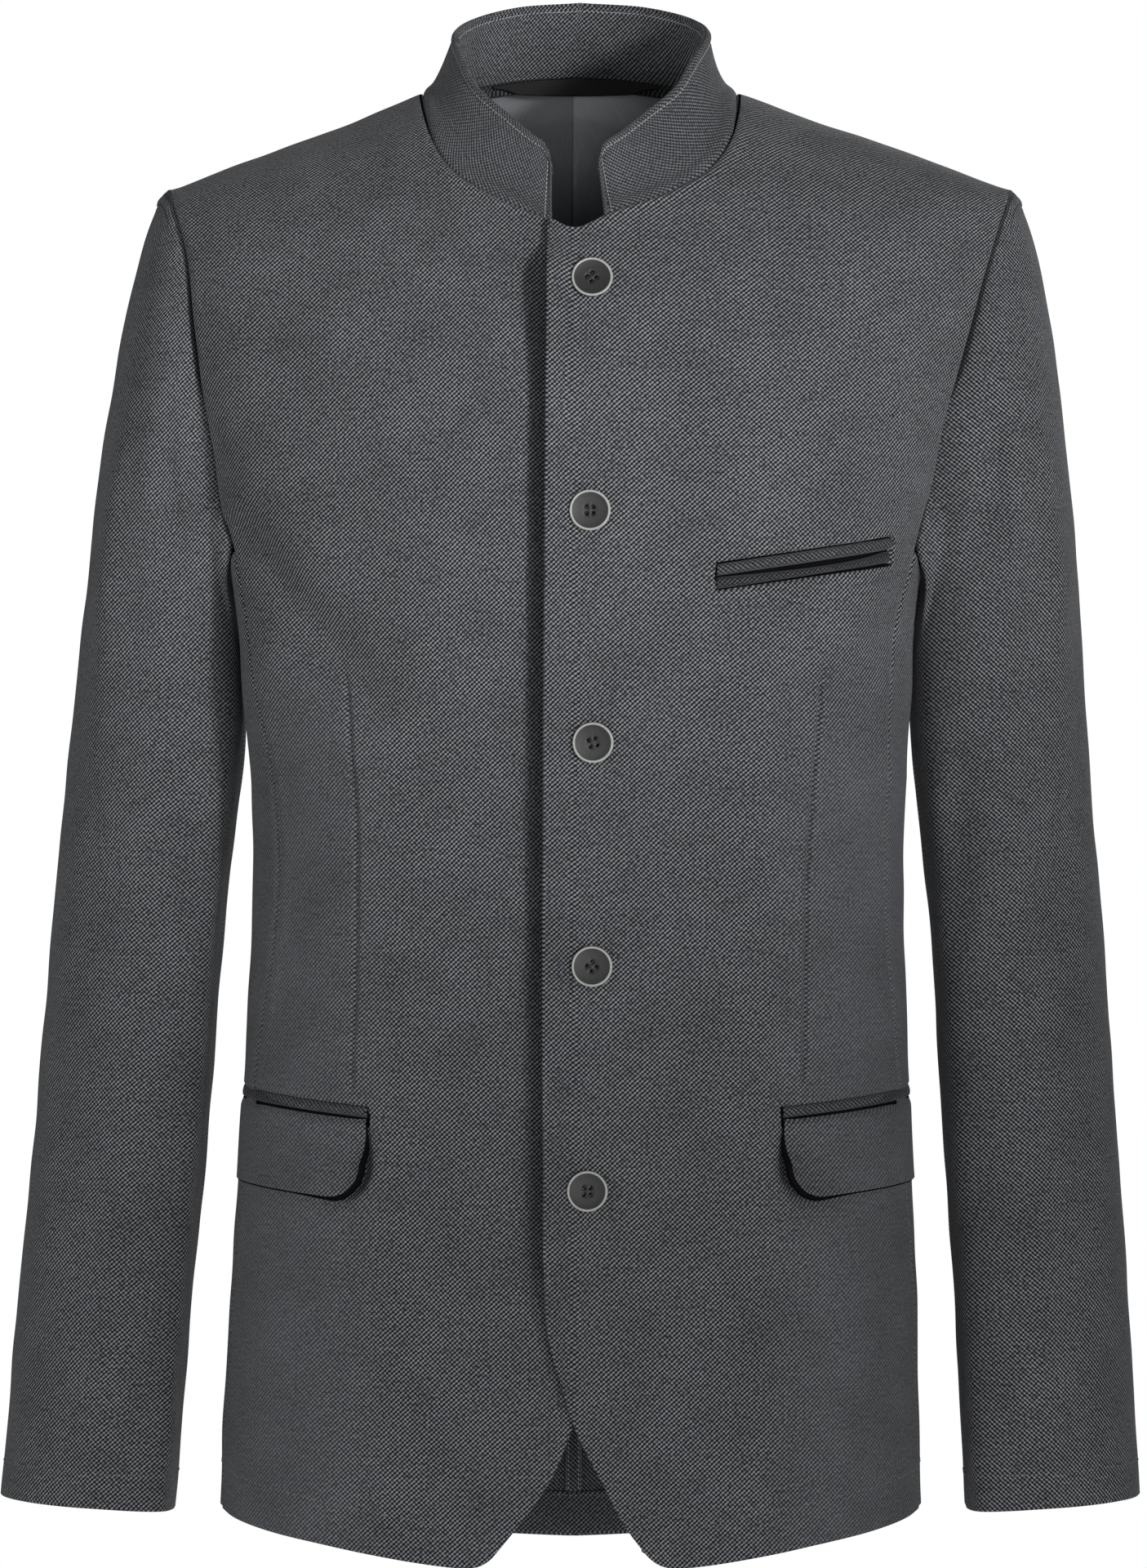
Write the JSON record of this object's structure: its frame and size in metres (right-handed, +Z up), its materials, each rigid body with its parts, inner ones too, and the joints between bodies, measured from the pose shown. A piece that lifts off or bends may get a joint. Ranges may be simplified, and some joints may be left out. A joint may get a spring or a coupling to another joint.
{
  "type": "jersey blazer",
  "caption": "Worn-shape jersey blazer with a stand collar, buttoned front, flap hip pockets, a slanted chest pocket and set-in sleeves.",
  "frame": {"origin": "midway between the two points where the shoulder seams meet the collar, where the wearer's shoulders hold the garment", "axes": "+Z up, -Y the garment's front, +X the wearer's left"},
  "size_m": [0.5768, 0.2471, 0.7946],
  "materials": {
    "cloth": "matt charcoal pique jersey",
    "button": "satin grey with a paler rim",
    "lining": "smooth dark grey satin",
    "tape": "bare black woven tape"
  },
  "bodies": {
    "root": {"front_left": "cloth", "front_right": "cloth", "side_left": "cloth", "side_right": "cloth", "back_left": "cloth", "back_right": "cloth", "sleeve_upper_left": "cloth", "sleeve_upper_right": "cloth", "sleeve_under_left": "cloth", "sleeve_under_right": "cloth", "collar_outer": "cloth", "collar_inner": "cloth", "flap_left": "cloth", "flap_right": "cloth", "jet_left": "cloth", "jet_right": "cloth", "chest_jet_upper": "cloth", "chest_jet_lower": "cloth", "back_hem": "cloth", "seam_strip": "cloth", "button_1": "button", "button_2": "button", "button_3": "button", "button_4": "button", "button_5": "button", "lining_left": "lining", "lining_right": "lining", "neck_tape": "tape"}
  },
  "joints": []
}
